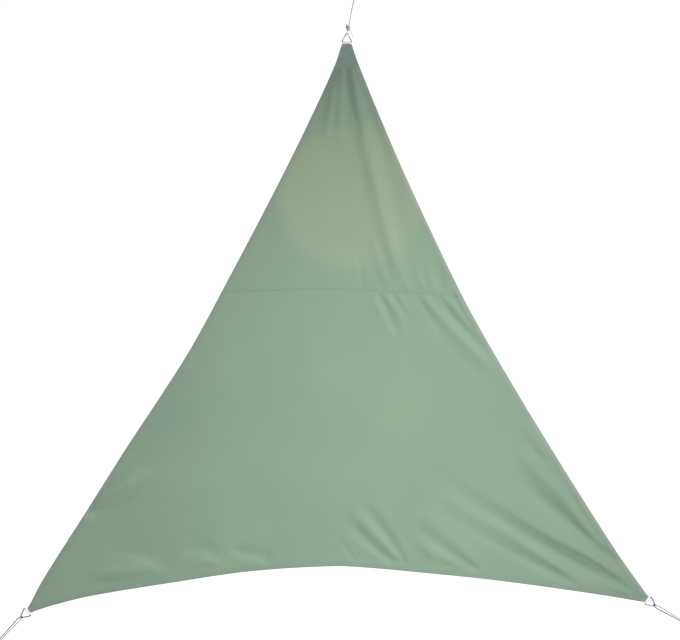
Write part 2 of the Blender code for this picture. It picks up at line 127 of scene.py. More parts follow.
# Free routes at the top knot, in millimetres from its middle: (right, back, up).
KNOT_LOOP = (
    (1.0, -2.0, 6.0), (-1.2, -3.0, -6.0), (-4.2, -5.6, -17.0), (-6.2, -5.8, -24.5),
    (-6.6, -3.6, -29.1), (-6.7, 0.0, -30.8), (-6.6, 3.6, -29.1), (-6.2, 5.8, -24.5),
    (-4.2, 5.6, -17.0), (-1.2, 3.0, -6.0), (1.0, 2.0, 6.0),
)
KNOT_STUB = (
    (1.0, 0.0, 1.0), (-3.0, -1.5, 8.0), (-6.8, -2.0, 13.0), (-9.2, -1.8, 19.0),
)
KNOT_TAIL = (
    (1.0, -1.0, -1.0), (6.0, -5.0, -7.5), (10.5, -5.8, -15.0), (15.5, -4.0, -26.5),
    (20.2, -2.0, -38.5), (23.8, -1.2, -50.0),
)

# ---- stitches ----
STITCH = 0.0050  # pitch
STITCH_LENGTH = 0.0040
THREAD = 0.0007
SEWN_STEP = 0.004  # between the points of a line that is sewn along


def heading(degrees):
    return np.array((math.cos(math.radians(degrees)), math.sin(math.radians(degrees))))


HALF_POINT = math.atan2(RING_BASE / 2, RING_HEIGHT)
RING_TOP = RING_HEIGHT - RING_BEND / math.sin(HALF_POINT) + RING_BEND
RING_REACH = BAR_OUT + RING_TOP - WIRE / 2

Corner = namedtuple("Corner", "x z width pull rope reach")
TOP_PULL = 89.0
CORNERS = {
    "top": Corner(*(-RING_REACH * heading(TOP_PULL)), 0.046, TOP_PULL, 78.0, 0.182),
    "left": Corner(-1.517, -2.752, 0.022, 219.0, 227.0, 0.176),
    "right": Corner(1.429, -2.698, 0.033, -37.0, -29.5, 0.166),
}
EDGES = {  # (share of the way along, inward distance)
    ("top", "left"): (
        (0.035, 0.020), (0.14, 0.045), (0.25, 0.061), (0.39, 0.072), (0.52, 0.077),
        (0.61, 0.062), (0.70, 0.040), (0.82, 0.019), (0.95, -0.004),
    ),
    ("left", "right"): (
        (0.04, 0.035), (0.10, 0.075), (0.23, 0.132), (0.36, 0.182), (0.495, 0.200),
        (0.56, 0.187), (0.63, 0.164), (0.76, 0.117), (0.92, 0.043),
    ),
    ("top", "right"): (
        (0.035, 0.017), (0.14, 0.050), (0.25, 0.077), (0.40, 0.101), (0.48, 0.105),
        (0.62, 0.091), (0.76, 0.067), (0.91, 0.034), (0.98, 0.009),
    ),
}
SEAM = ((-0.66, -1.238), (-0.50, -1.223), (-0.08, -1.211), (0.28, -1.227), (0.62, -1.254))
SEAM_ENDS = SEAM[0][0], SEAM[-1][0]

# The folds, from where each is drawn tight to where it fades, in millimetres: depth (back is
# positive, a ridge is negative), half width, shares of the run over which it deepens and fades,
# how much wider its left flank is than its right, and its route as (x, z). The longest lie on the
# solids' folds.
Crease = namedtuple("Crease", "depth width rise fall lean route")
CREASE_TABLE = (
    # down from the top corner
    (-1.2, 17.5, 0.27, 0.17, -0.32, (
        (-19, -116), (-2, -320), (68, -543), (115, -803), (170, -1057), (224, -1194),
    )),
    (-11.4, 32.0, 0.05, 0.17, 0.09, (
        (15, -134), (56, -353), (107, -593), (166, -853), (227, -1081), (274, -1223),
    )),
    (3.0, 26.9, 0.35, 0.45, -0.07, (
        (78, -218), (143, -457), (223, -723), (263, -985), (305, -1177),
    )),
    (-3.9, 18.5, 0.23, 0.57, -0.25, ((-61, -208), (-93, -420), (-116, -602))),
    (-4.3, 18.7, 0.07, 0.65, 0.05, ((-47, -189), (-77, -410), (-85, -592))),
    (-6.6, 21.9, 0.05, 0.43, -0.05, ((-23, -162), (-32, -373), (-40, -554))),
    # fine ones above the seam
    (-3.2, 20.7, 0.42, 0.10, -0.22, ((109, -927), (146, -1057), (190, -1205))),
    (1.1, 8.6, 0.51, 0.13, -0.13, ((129, -1088), (148, -1160), (182, -1229))),
    (-2.7, 9.9, 0.42, 0.10, -0.21, ((320, -1090), (343, -1157), (373, -1229))),
    (-2.4, 10.5, 0.40, 0.10, -0.20, ((242, -1085), (264, -1155), (290, -1226))),
    (-2.3, 11.1, 0.34, 0.10, -0.15, ((379, -1088), (395, -1158), (428, -1236))),
    (4.4, 21.4, 0.38, 0.21, -0.22, ((434, -1083), (446, -1165), (456, -1237))),
    (1.5, 10.0, 0.52, 0.11, 0.15, ((45, -1031), (61, -1116), (76, -1214))),
    # below the seam, in the middle
    (-1.6, 17.6, 0.24, 0.37, -0.22, ((112, -1236), (167, -1356), (244, -1501))),
    (3.4, 14.5, 0.05, 0.51, -0.04, ((145, -1235), (195, -1330), (257, -1469))),
    (-3.3, 17.7, 0.18, 0.43, 0.12, ((170, -1236), (234, -1320), (282, -1440))),
    (1.7, 14.2, 0.05, 0.62, 0.06, ((211, -1231), (253, -1303), (290, -1385))),
    (-3.1, 14.7, 0.20, 0.58, -0.32, ((244, -1236), (273, -1289), (304, -1345))),
    # below the seam and on down the right edge
    (2.0, 18.5, 0.05, 0.80, -0.15, ((318, -1242), (396, -1342), (483, -1477), (612, -1593))),
    (-5.2, 21.3, 0.06, 0.38, -0.16, (
        (355, -1243), (439, -1342), (540, -1455), (656, -1563), (755, -1693),
    )),
    (7.2, 17.0, 0.37, 0.48, -0.06, ((426, -1228), (488, -1330), (585, -1434), (708, -1570))),
    (-3.2, 12.8, 0.05, 0.26, 0.12, ((448, -1251), (526, -1320), (594, -1422))),
    (4.3, 10.7, 0.12, 0.32, -0.47, ((505, -1235), (548, -1321), (606, -1417))),
    (1.0, 20.7, 0.26, 0.57, 0.24, ((477, -1505), (619, -1609), (752, -1754))),
    # along the right edge
    (-1.3, 11.9, 0.34, 0.62, -0.16, ((1004, -2096), (869, -1932), (762, -1764))),
    (-7.6, 23.5, 0.31, 0.52, -0.25, ((985, -2048), (912, -1957), (838, -1825))),
    # the fan from the right corner
    (7.9, 25.0, 0.26, 0.80, -0.02, (
        (1161, -2652), (981, -2570), (759, -2455), (562, -2340), (353, -2202),
    )),
    (-8.0, 26.9, 0.26, 0.80, -0.28, (
        (1191, -2673), (1005, -2540), (746, -2372), (486, -2223), (309, -2088),
    )),
    (12.8, 32.0, 0.22, 0.80, 0.17, (
        (1384, -2664), (1176, -2567), (938, -2441), (672, -2278), (440, -2107), (275, -1998),
    )),
    (-12.8, 32.0, 0.22, 0.80, -0.49, (
        (1408, -2672), (1202, -2519), (966, -2390), (724, -2238), (483, -2075),
    )),
    (15.0, 32.0, 0.08, 0.45, 0.02, (
        (1312, -2560), (1168, -2425), (1015, -2292), (885, -2177), (771, -2036),
    )),
    (-7.0, 26.4, 0.11, 0.16, -0.04, (
        (1254, -2486), (1120, -2335), (1020, -2197), (890, -2068), (795, -1954),
    )),
    (4.8, 8.5, 0.10, 0.60, 0.18, ((1213, -2425), (1116, -2276), (1019, -2122), (955, -2036))),
    (-6.0, 10.0, 0.20, 0.37, 0.20, ((1402, -2685), (1299, -2652), (1191, -2609))),
    # up from the lower edge, to the right
    (-4.8, 24.5, 0.44, 0.34, -0.31, ((566, -2544), (432, -2487), (313, -2402))),
    (3.3, 21.6, 0.05, 0.15, 0.15, ((629, -2557), (490, -2469), (314, -2343))),
    (-3.6, 31.1, 0.22, 0.15, -0.31, ((663, -2559), (534, -2445), (335, -2271))),
    (-2.6, 11.8, 0.30, 0.39, -0.01, ((443, -2528), (398, -2491), (366, -2464))),
    # up from the lower edge, near its middle
    (-2.2, 20.0, 0.24, 0.67, 0.03, ((175, -2514), (84, -2450), (-48, -2354))),
    (4.1, 24.4, 0.05, 0.37, 0.26, ((229, -2520), (122, -2437), (-34, -2281))),
    (-4.1, 21.5, 0.05, 0.39, -0.16, ((266, -2517), (148, -2401), (-16, -2226))),
    (4.1, 22.0, 0.05, 0.52, 0.17, ((274, -2527), (180, -2370), (31, -2188))),
    (-1.7, 22.8, 0.05, 0.34, -0.30, ((300, -2520), (227, -2367), (79, -2188))),
    (2.2, 11.9, 0.13, 0.54, 0.25, ((41, -2510), (-3, -2441), (-49, -2378))),
    (0.7, 9.6, 0.24, 0.46, -0.04, ((18, -2499), (-30, -2427), (-80, -2367))),
    # in from the left edge
    (12.2, 24.6, 0.20, 0.80, 0.10, ((-1260, -2309), (-1126, -2262), (-951, -2177))),
    (-10.1, 23.4, 0.40, 0.59, 0.11, ((-1249, -2275), (-1104, -2175), (-870, -2061))),
    (5.6, 17.9, 0.21, 0.75, 0.25, ((-1184, -2168), (-1061, -2084), (-912, -2005))),
    # along the lower edge, to the left
    (-11.0, 32.0, 0.41, 0.52, 0.06, (
        (-1273, -2592), (-1107, -2575), (-939, -2543), (-823, -2609),
    )),
    (3.4, 24.5, 0.37, 0.27, 0.18, ((-1179, -2489), (-1013, -2475), (-841, -2553))),
    (4.7, 30.5, 0.39, 0.41, 0.31, ((-814, -2487), (-692, -2453), (-572, -2506))),
    (-3.2, 17.5, 0.34, 0.44, 0.11, ((-773, -2550), (-682, -2513), (-573, -2536))),
    (4.4, 26.4, 0.26, 0.20, 0.00, ((-570, -2455), (-466, -2470), (-349, -2494))),
    (-1.6, 17.6, 0.29, 0.26, -0.20, ((-558, -2505), (-463, -2517), (-351, -2541))),
)
CREASES = [
    Crease(depth / 1000, width / 1000, rise, fall, lean, np.array(route) / 1000)
    for depth, width, rise, fall, lean, route in CREASE_TABLE
]
TIP_GREY = 0.17  # from the top corner, over which the cloth is greyer
CREASE_STEP = 0.03
CREASE_REACH = 0.12  # beyond this a fold has died out
CORNER_FLAT = (0.060, 0.120)  # the stiff tip: flat up to the first distance, free at the second


# ---- materials ----


class Recipe:
    """Builds a material's nodes, with a call for each."""

    def __init__(self, name):
        self.material = bpy.data.materials.new(name)
        self.material.use_nodes = True
        self.tree = self.material.node_tree
        self.shader = self.tree.nodes["Principled BSDF"]
        self.output = self.tree.nodes["Material Output"]

    def node(self, kind, inputs=(), **settings):
        node = self.tree.nodes.new("ShaderNode" + kind)
        for name, value in settings.items():
            setattr(node, name, value)
        for key, value in dict(inputs).items():
            self.set(node, key, value)
        return node

    def set(self, node, key, value):
        if isinstance(value, bpy.types.NodeSocket):
            self.tree.links.new(value, node.inputs[key])
        else:
            node.inputs[key].default_value = value

    def maths(self, operation, a, b=0.0):
        return self.node("Math", {0: a, 1: b}, operation=operation).outputs[0]

    def place(self, scale=(1.0, 1.0, 1.0)):
        spot = self.node("TexCoord").outputs["Object"]
        return self.node("Mapping", {"Vector": spot, "Scale": scale}).outputs[0]

    def noise(self, scale, detail=3.0, stretch=(1.0, 1.0, 1.0)):
        inputs = {"Vector": self.place(stretch), "Scale": scale, "Detail": detail}
        return self.node("TexNoise", inputs).outputs["Fac"]

    def waves(self, direction, period, distortion=0.0):
        """Bands across a direction; a wave texture has 20 radians a metre at scale 1."""
        inputs = {
            "Vector": self.place(), "Scale": 2 * math.pi / 20 / period,
            "Distortion": distortion, "Detail": 1.0, "Detail Scale": 0.4,
        }
        return self.node("TexWave", inputs, bands_direction=direction).outputs["Fac"]

    def spread(self, value, low, high):
        """A noise's usual range, 0.3 to 0.7, taken to low and high."""
        inputs = {"Value": value, "From Min": 0.3, "From Max": 0.7, "To Min": low, "To Max": high}
        return self.node("MapRange", inputs).outputs[0]

    def attribute(self, name):
        return self.node("Attribute", attribute_name=name).outputs["Fac"]

    def mix(self, share, a, b, blend="MIX"):
        node = self.node("Mix", data_type="RGBA", blend_type=blend)
        for key, value in ((0, share), (6, a), (7, b)):
            self.set(node, key, (*value, 1.0) if isinstance(value, tuple) else value)
        return node.outputs[2]

    def bump(self, height, distance, strength=1.0, over=None):
        inputs = {"Height": height, "Distance": distance, "Strength": strength}
        if over is not None:
            inputs["Normal"] = over
        return self.node("Bump", inputs).outputs[0]

    def finish(self, **inputs):
        for key, value in inputs.items():
            name = key.replace("_", " ").title()
            self.set(self.shader, name, (*value, 1.0) if isinstance(value, tuple) else value)
        return self.material


def cloth_material():
    """Plain-woven polyester: thread waves both ways, slubs, and a tone that drifts a little."""
    r = Recipe("sail_cloth")
    threads = r.maths("MULTIPLY", r.waves("X", 0.0012, 0.6), r.waves("Z", 0.0012, 0.6))
    level, upright = (r.noise(1.0, 2.0, (a, 18.0, b)) for a, b in ((18.0, 620.0), (620.0, 18.0)))
    slubs = r.maths("MULTIPLY", r.maths("ADD", level, upright), 0.5)
    drift, mottle = r.noise(2.6, 2.0), r.noise(38.0, 3.0)
    green = r.mix(r.spread(drift, 0.0, 1.0), (0.292, 0.402, 0.312), (0.312, 0.425, 0.310))
    green = r.mix(r.spread(slubs, 0.0, 0.10), green, (0.42, 0.52, 0.42))
    green = r.mix(r.spread(mottle, 0.0, 0.06), green, (0.22, 0.31, 0.25))
    # The hems are a greyer cloth; along the right edge they are lighter still, painted light where
    # light from the right catches that edge.
    hem = r.mix(r.attribute("lit_right_hem"), (0.306, 0.382, 0.322), (0.362, 0.436, 0.368))
    green = r.mix(r.attribute("hem"), green, hem)
    green = r.mix(r.attribute("shade"), green, (0.200, 0.240, 0.215))
    green = r.mix(r.maths("MULTIPLY", r.attribute("tip"), 0.45), green, (0.280, 0.325, 0.338))
    normal = r.bump(threads, 0.00025, 0.8)
    normal = r.bump(slubs, 0.0004, 0.5, normal)
    r.set(r.shader, "Specular IOR Level", 0.3)
    r.finish(
        base_color=green, roughness=r.spread(mottle, 0.78, 0.92), normal=normal,
        sheen_weight=0.15, sheen_roughness=0.5,
    )
    through = r.node("BsdfTranslucent", {"Color": (0.62, 0.78, 0.60, 1.0), "Normal": normal})
    both = r.node("MixShader", {0: 0.30, 1: r.shader.outputs[0], 2: through.outputs[0]})
    r.tree.links.new(both.outputs[0], r.output.inputs["Surface"])
    return r.material


def webbing_material():
    r = Recipe("webbing_polyester")
    fibres = r.noise(900.0, 3.0)
    soil = r.noise(60.0, 3.0)
    white = r.mix(r.spread(soil, 0.0, 0.35), (0.86, 0.87, 0.90), (0.74, 0.75, 0.77))
    return r.finish(
        base_color=white, roughness=r.spread(fibres, 0.6, 0.8),
        normal=r.bump(fibres, 0.0002, 0.6), sheen_weight=0.2,
    )


def thread_material():
    r = Recipe("sewing_thread")
    ply = r.noise(1500.0, 2.0)
    green = r.mix(r.spread(ply, 0.0, 1.0), (0.26, 0.35, 0.28), (0.38, 0.50, 0.40))
    return r.finish(base_color=green, roughness=0.6, normal=r.bump(ply, 0.0002, 0.5))


def rope_material():
    """Braided cord: light grey, with painted shade between the plaits, darker on the lower ropes
    and darker still on one strand of each.
    """
    r = Recipe("braided_rope")
    fibres = r.noise(1400.0, 3.0)
    patches = r.noise(120.0, 3.0)
    # Painted shade: darker in the grooves between the raised plaits.
    grey = r.mix(r.attribute("plait"), (0.46, 0.46, 0.45), (0.90, 0.90, 0.89))
    grey = r.mix(r.spread(patches, 0.0, 0.25), grey, (0.66, 0.66, 0.63))
    # Darker where the darkening value is high: the lower ropes, and one strand of each more so.
    grey = r.mix(r.attribute("soil"), grey, (0.12, 0.12, 0.125))
    return r.finish(
        base_color=grey, roughness=r.spread(fibres, 0.65, 0.85),
        normal=r.bump(fibres, 0.00015, 0.6), sheen_weight=0.1,
    )


def steel_material():
    """Polished wire with fine rubbed marks."""
    r = Recipe("polished_steel")
    rubbed = r.noise(260.0, 4.0, (1.0, 1.0, 4.0))
    smears = r.noise(45.0, 2.0)
    grey = r.mix(r.spread(smears, 0.0, 1.0), (0.32, 0.32, 0.34), (0.46, 0.46, 0.48))
    rough = r.maths("ADD", r.spread(rubbed, 0.26, 0.36), r.spread(smears, 0.0, 0.08))
    normal = r.bump(rubbed, 0.00005, 0.4)
    return r.finish(base_color=grey, metallic=1.0, roughness=rough, normal=normal)


def floor_material():
    r = Recipe("pale_floor")
    r.set(r.shader, "Specular IOR Level", 0.0)
    return r.finish(
        base_color=(0.90, 0.90, 0.90), roughness=0.9,
        emission_color=(1.0, 1.0, 1.0), emission_strength=1.0,
    )


# ---- shared shapes ----


def smoothstep(value, low, high):
    t = np.clip((value - low) / (high - low), 0.0, 1.0)
    return t * t * (3 - 2 * t)


def swell(value, height, middle, width):
    """A bell-shaped rise over a value's distance from its middle."""
    return height * np.exp(-(((value - middle) / width) ** 2))


def smooth_value(rows, at):
    """Values at places on the smooth curve through rows of (place, value)."""
    places, values = np.array(rows, float).T
    order = np.arange(len(rows))
    before, after = np.maximum(order - 1, 0), np.minimum(order + 1, len(rows) - 1)
    slopes = (values[after] - values[before]) / (places[after] - places[before])
    i = np.clip(np.searchsorted(places, at, side="right") - 1, 0, len(rows) - 2)
    span = places[i + 1] - places[i]
    t = (at - places[i]) / span
    rise = values[i] * (1 + 2 * t) * (1 - t) ** 2 + values[i + 1] * t * t * (3 - 2 * t)
    return rise + span * (slopes[i] * t * (1 - t) ** 2 - slopes[i + 1] * t * t * (1 - t))


def smooth_route(points, step=ROPE_STEP):
    """Points about a step apart on the smooth curve through the route's points."""
    points = np.array(points, float)
    ends = np.vstack((2 * points[0] - points[1], points, 2 * points[-1] - points[-2]))
    line = []
    for a, b, c, d in zip(ends, ends[1:], ends[2:], ends[3:]):
        count = max(1, math.ceil(np.linalg.norm(c - b) / step))
        t = np.arange(count)[:, None] / count
        line.append(
            0.5 * (2 * b + (c - a) * t + (2 * a - 5 * b + 4 * c - d) * t**2
                   + (3 * b - a - 3 * c + d) * t**3)
        )
    return np.vstack((*line, points[-1:]))


def unit(vectors):
    """A vector, or each row of an array, brought to a length of one."""
    return vectors / np.linalg.norm(vectors, axis=-1, keepdims=True)


def run_length(line):
    """The length along a line up to each of its points."""
    steps = np.linalg.norm(np.diff(line, axis=0), axis=1)
    return np.concatenate(([0.0], np.cumsum(steps)))


def add_object(name, data):
    obj = bpy.data.objects.new(name, data)
    bpy.context.scene.collection.objects.link(obj)
    return obj


def add_piece(name, points, faces, mat, smooth_angle=None, values=None):
    """A mesh that rides on the sail, with its finish's slot and named values at its points."""
    mesh = bpy.data.meshes.new(name)
    mesh.from_pydata(np.asarray(points).tolist(), [], faces)
    mesh.materials.append(mat)
    mesh.shade_smooth()
    if smooth_angle is not None:
        mesh.set_sharp_from_angle(angle=math.radians(smooth_angle))
    for key, numbers in (values or {}).items():
        layer = mesh.attributes.new(key, "FLOAT", "POINT")
        layer.data.foreach_set("value", np.asarray(numbers, np.float32))
    obj = add_object(name, mesh)
    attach(obj, "root")
    return obj


class Parts:
    """Gathers tubes or stitches into the points and faces of one piece."""

    def __init__(self):
        self.points, self.faces, self.count = [], [], 0
        self.values = {}

    def add(self, points, faces, **values):
        self.points.append(points)
        self.faces.extend([[i + self.count for i in face] for face in faces])
        for key, numbers in values.items():
            self.values.setdefault(key, []).append(numbers)
        self.count += len(points)

    def piece(self, name, mat, slot):
        values = {key: np.concatenate(numbers) for key, numbers in self.values.items()}
        return add_piece(name, np.vstack(self.points), self.faces, mat, values=values)


def ring_frames(line, closed=False):
    """At each point of a line, two directions square to it that twist as little as they can."""
    ahead = np.roll(line, -1, axis=0) - np.roll(line, 1, axis=0)
    if not closed:
        ahead[0], ahead[-1] = line[1] - line[0], line[-1] - line[-2]
    ahead = unit(ahead)
    side, sides = np.cross(ahead[0], (0.0, 1.0, 0.0)), []
    for direction in ahead:
        side = unit(side - direction * side.dot(direction))
        sides.append(side)
    return np.array(sides), np.cross(ahead, sides)


def tube(line, radius, around, closed=False):
    """A tube's points and faces; radius is a number or an array of (ring, place round it)."""
    side, other = ring_frames(line, closed)
    turn = 2 * math.pi * np.arange(around) / around
    radius = np.broadcast_to(radius, (len(line), around))[:, :, None]
    spokes = side[:, None] * np.cos(turn)[:, None] + other[:, None] * np.sin(turn)[:, None]
    points = (line[:, None] + spokes * radius).reshape(-1, 3)
    rings = len(line) if closed else len(line) - 1
    faces = []
    for i in range(rings):
        a, b = i * around, (i + 1) % len(line) * around
        faces += [
            (a + k, a + (k + 1) % around, b + (k + 1) % around, b + k) for k in range(around)
        ]
    if not closed:
        last = (len(line) - 1) * around
        faces += [tuple(range(around))[::-1], tuple(range(last, last + around))]
    return points, faces


def strip(one, two):
    """Faces between two rows of points, given by their numbers."""
    return [tuple(map(int, face)) for face in zip(one, two, two[1:], one[1:])]


# ---- ropes ----


def add_braid(parts, line, diameter, soil=0.0):
    """A braided rope along a line, with how raised and how dark each of its points is; how raised
    also sets the painted shade between the plaits.
    """
    along = run_length(line)[:, None]
    turn = 2 * math.pi * np.arange(ROPE_SIDES)[None] / ROPE_SIDES
    size = diameter / ROPE
    raised = 0.5 + 0.5 * np.cos(PLAITS * turn) * np.cos(2 * math.pi * along / PLAIT_LENGTH / size)
    radius = diameter / 2 + PLAIT_HEIGHT * size * (raised - 0.6)
    to_end = np.minimum(along, along[-1] - along) / (0.4 * diameter)
    radius = radius * np.sqrt(1 - 0.75 * (1 - np.minimum(to_end, 1.0)) ** 2)
    points, faces = tube(line, radius, ROPE_SIDES)
    soil = np.broadcast_to(np.reshape(soil, (-1, 1)), raised.shape)
    parts.add(points, faces, plait=raised.ravel(), soil=soil.ravel())


def wraps(middle, axis, radius, turns, start):
    """A rope wound round an axis, then laid down over its own turns and tucked in."""
    side = unit(np.cross(axis, (0.0, 1.0, 0.0)))
    front = np.cross(side, axis)
    half = (ROPE + 0.0002) * turns / 2
    rows = [(start - 60.0, -half + 0.001, 0.2), (start - 25.0, -half, 0.8)]
    rows += [
        (start + 360.0 * turns * share, half * (2 * share - 1), 1.0)
        for share in np.linspace(0.0, 1.0, round(turns * 10) + 1)
    ]
    top = start + 360.0 * turns
    over = 1 + 0.80 * ROPE / radius  # the last turn lies on the others
    rows += [
        (top + 30, half * 0.85, 1.15), (top + 60, half * 0.55, over), (top + 95, 0.0, over),
        (top + 130, -half * 0.55, over), (top + 160, -half * 0.95, 1.1),
        (top + 190, -half * 1.05, 0.4),
    ]
    points = []
    for degrees, rise, wide in rows:
        c, s = heading(degrees)
        points.append(middle + axis * rise + (side * c + front * s) * radius * wide)
    return smooth_route(points)


class CornerFrame:
    """Places a point given as (across the pull, forward or back, outwards from the ring's bar)."""

    def __init__(self, name):
        pull = CORNERS[name].pull
        self.out, self.across = heading(pull), heading(pull - 90)
        self.bar = tip(name) + self.out * BAR_OUT
        self.depth = 0.0 if name == "top" else LOWER_FRONT - UPPER_FRONT

    def place(self, across, depth, out):
        x, z = self.bar + self.across * across + self.out * out
        return np.array((x, self.depth + depth, z))


def far_knot_place(name):
    corner, point = CORNERS[name], CornerFrame(name).place(0.0, 0.0, RING_TOP)
    run = heading(corner.rope) * corner.reach
    return point + (run[0], 0.0, run[1])


def end_knot(name, strands, away, mat):
    """The knot at a rope's far end: turns round its strands, whose cut ends just show."""
    middle, parts = far_knot_place(name), Parts()
    soil = 0.0 if name == "top" else ROPE_GREY
    add_braid(parts, wraps(middle, away, **END_TURNS), ROPE, soil)
    for strand in strands:
        inner, outer = strand - away * 0.004, strand + away * (2 * END_KNOT + 0.007)
        outer = outer + (strand - middle) * 0.25
        add_braid(parts, smooth_route((inner, (inner + outer) / 2, outer)), ROPE, soil)
    knot = parts.piece(f"{name}_far_knot", mat, "rope")
    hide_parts(f"{name}_end_knot")
    return knot


def top_knot(axis, mat):
    """The rope tied round the top ring's point: its loop, turns, short stub and thin tail."""
    middle, parts = np.array(TOP_KNOT_PLACE), Parts()
    add_braid(parts, wraps(middle, axis, **TOP_TURNS), ROPE)
    for route, size in ((KNOT_LOOP, ROPE), (KNOT_STUB, STUB), (KNOT_TAIL, TAIL)):
        add_braid(parts, smooth_route(middle + np.array(route) / 1000), size)
    core = smooth_route((middle - axis * 0.008, middle, middle + axis * 0.015))
    add_braid(parts, core, ROPE)
    knot = parts.piece("top_tied_knot", mat, "rope")
    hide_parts("top_knot")
    return knot


def lay_rope(name, line, soil, ends, away, mat):
    """A taut rope along a line, with the knots on it."""
    parts = Parts()
    add_braid(parts, line, ROPE, soil)
    rope = parts.piece(f"{name}_braided_rope", mat, "rope")
    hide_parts(f"{name}_rope")
    knots = [top_knot(away, mat)] if name == "top" else []
    knots.append(end_knot(name, ends, away, mat))


def doubled_rope(name, mat):
    """Out from the far knot, through the ring and back to the knot, as one length of rope."""
    corner, knot = CornerFrame(name), far_knot_place(name)
    point = corner.place(0.0, 0.0, RING_TOP)
    away = unit(knot - point)
    forward = np.array((0.0, -1.0, 0.0))
    aside = np.cross(away, forward)
    reach = np.linalg.norm(knot - point) - END_KNOT - GAP
    along, side, stand = STRAND_END
    half = STRAND_APART / 2
    run = [*STRAND, (reach - along, half + side, stand), (reach, half, 0.0)]
    strands = [
        [point + away * a + (aside * s + forward * f) * hand for a, s, f in run]
        for hand in (1, -1)
    ]
    turn = corner.place(0.0, 0.0, RING_TOP - BIGHT_DEPTH)
    line = smooth_route(strands[0][::-1] + [turn] + strands[1])
    share = 1 - run_length(line) / run_length(line)[-1]
    # One strand of each lower rope is made darker along most of its length.
    soil = smoothstep(share, 0.46, 0.54) * (1 - 0.45 * smoothstep(share, 0.72, 0.97))
    ends = [strand[-1] for strand in strands]
    lay_rope(name, line, ROPE_GREY + STRAND_DARK * soil, ends, away, mat)


def top_rope(mat):
    far, knot = far_knot_place("top"), np.array(TOP_KNOT_PLACE)
    axis = unit(far - knot)
    start = knot + axis * (TOP_KNOT + GAP)
    end = far - axis * (END_KNOT + GAP)
    middle = (start + end) / 2 - (TOP_ROPE_BOW, 0.0, 0.0)
    lay_rope("top", smooth_route((start, middle, end)), 0.0, [end], axis, mat)


# ---- the cloth's outline ----


def tip(name):
    return np.array(CORNERS[name][:2])


class Edge:
    """An edge of the cloth, from corner to corner, drawn in towards the middle."""

    def __init__(self, start, end):
        first, last = (1, 0) if (start, end) == ("top", "right") else (0, 1)
        self.start, b = tip_ends(start)[first], tip_ends(end)[last]
        self.length = np.linalg.norm(b - self.start)
        self.along = (b - self.start) / self.length
        self.inward = np.array((-self.along[1], self.along[0]))
        centre = np.array((0.0, (CORNERS["left"].z + CORNERS["right"].z) / 3))
        if self.inward.dot(centre - self.start) < 0:
            self.inward = -self.inward
        self.rows = ((0.0, 0.0), *EDGES[start, end], (1.0, 0.0))

    def at(self, shares, inset):
        drawn = smooth_value(self.rows, shares) + inset
        straight = self.start + np.outer(shares * self.length, self.along)
        return straight + np.outer(drawn, self.inward)

    def line(self, step, inset=0.0):
        return self.at(np.linspace(0.0, 1.0, round(self.length / step) + 1), inset)

    def inset(self, points):
        """How far inside this edge points lie, and how far along it."""
        away = points - self.start
        share = np.clip(away @ self.along / self.length, 0.0, 1.0)
        return away @ self.inward - smooth_value(self.rows, share), share * self.length


def tip_ends(name):
    corner = CORNERS[name]
    side = heading(corner.pull + 90) * corner.width / 2
    return tip(name) + side, tip(name) - side


def tip_inset(name, points):
    return (tip(name) - points) @ heading(CORNERS[name].pull)


SIDES = {pair: Edge(*pair) for pair in EDGES}


def hem_line(pair, step, inset, apart, short):
    """A line along an edge that stays apart from the other edges and short of the tips."""
    line = SIDES[pair].line(step, inset)
    clear = np.min([side.inset(line)[0] for key, side in SIDES.items() if key != pair], 0) > apart
    for name in pair:
        clear &= tip_inset(name, line) > short
    return line[clear]


def seam_line(offset, step):
    xs = np.linspace(*SEAM_ENDS, round((SEAM_ENDS[1] - SEAM_ENDS[0]) / step) + 1)
    return np.column_stack((xs, smooth_value(SEAM, xs) + offset))


def above_seam(points):
    """How far above the seam's middle points lie."""
    return points[:, 1] - smooth_value(SEAM, np.clip(points[:, 0], *SEAM_ENDS))


# ---- the cloth's relief ----


def cross(a, b):
    return a[..., 0] * b[..., 1] - a[..., 1] * b[..., 0]


def belly(points):
    a, b, c = map(tip, CORNERS)
    product = 27.0 * np.ones(len(points))
    for p, q in ((b, c), (c, a), (a, b)):
        product *= np.maximum(0.0, cross(p - points, q - points) / cross(b - a, c - a))
    return product


def nearest_on(line, points):
    """For each point its share of the way along a line and its distance to the line's left."""
    best = np.full(len(points), np.inf)
    share, side = np.zeros(len(points)), np.zeros(len(points))
    along = run_length(line)
    for a, b, first, last in zip(line, line[1:], along, along[1:]):
        run = b - a
        t = np.clip((points - a) @ run / run.dot(run), 0.0, 1.0)
        away = points - a - t[:, None] * run
        off = np.linalg.norm(away, axis=1)
        closer = off < best
        best = np.where(closer, off, best)
        share = np.where(closer, (first + t * (last - first)) / along[-1], share)
        side = np.where(closer, off * np.sign(cross(run, away)), side)
    return share, side


def crease_height(crease, points):
    """A fold's depth at each point; it widens as it goes."""
    line = smooth_route(crease.route, CREASE_STEP)
    low, high = line.min(0) - CREASE_REACH, line.max(0) + CREASE_REACH
    near = np.all((points > low) & (points < high), axis=1)
    share, side = nearest_on(line, points[near])
    fade = smoothstep(share, 0.0, crease.rise) * smoothstep(1 - share, 0.0, crease.fall)
    width = crease.width * (0.75 + 0.6 * share) * (1 + crease.lean * np.sign(side))
    height = np.zeros(len(points))
    height[near] = fade * swell(side, crease.depth, 0.0, width)
    return height


def ripple(along):
    """An uneven wave along a sewn edge, about a stitch row's puckers apart."""
    turn = 2 * math.pi * along
    beat = 0.55 + 0.45 * np.sin(turn / 0.31 + 2.0)
    drift = 1.7 * np.sin(turn / 0.13) + 0.9 * np.sin(turn / 0.047 + 1)
    return beat * np.sin(turn / 0.021 + drift)


